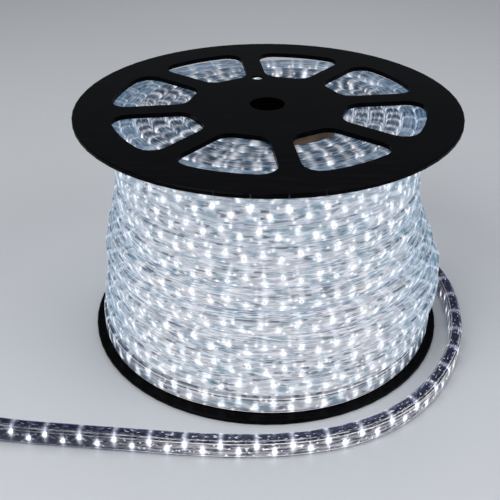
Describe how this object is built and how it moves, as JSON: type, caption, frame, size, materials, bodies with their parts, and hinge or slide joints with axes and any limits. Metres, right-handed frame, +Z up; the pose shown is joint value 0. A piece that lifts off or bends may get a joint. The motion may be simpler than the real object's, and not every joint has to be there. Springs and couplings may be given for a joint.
{
  "type": "flat led rope light wound on a spoked flanged reel",
  "caption": "Clear flat LED rope light wound on a black spoked reel, with its free end run round the reel and closed by an end cap.",
  "frame": {"origin": "on the reel's axis, in the plane of the lower flange's underside, where the reel stands", "axes": "+Z up along the reel's axis, +X to the right and -Y towards the viewer of the picture; the free end runs off towards -X in front"},
  "size_m": [0.4388, 0.3782, 0.2136],
  "materials": {
    "reel": "satin black moulded plastic",
    "core": "plain brown card tube",
    "rope": "clear soft PVC lit cool white from inside",
    "cap": "clear moulded PVC"
  },
  "bodies": {
    "root": {"lower_flange": "reel", "upper_flange": "reel", "core_tube": "core", "rope_winding": "rope", "free_rope": "rope", "end_cap": "cap"}
  },
  "joints": []
}
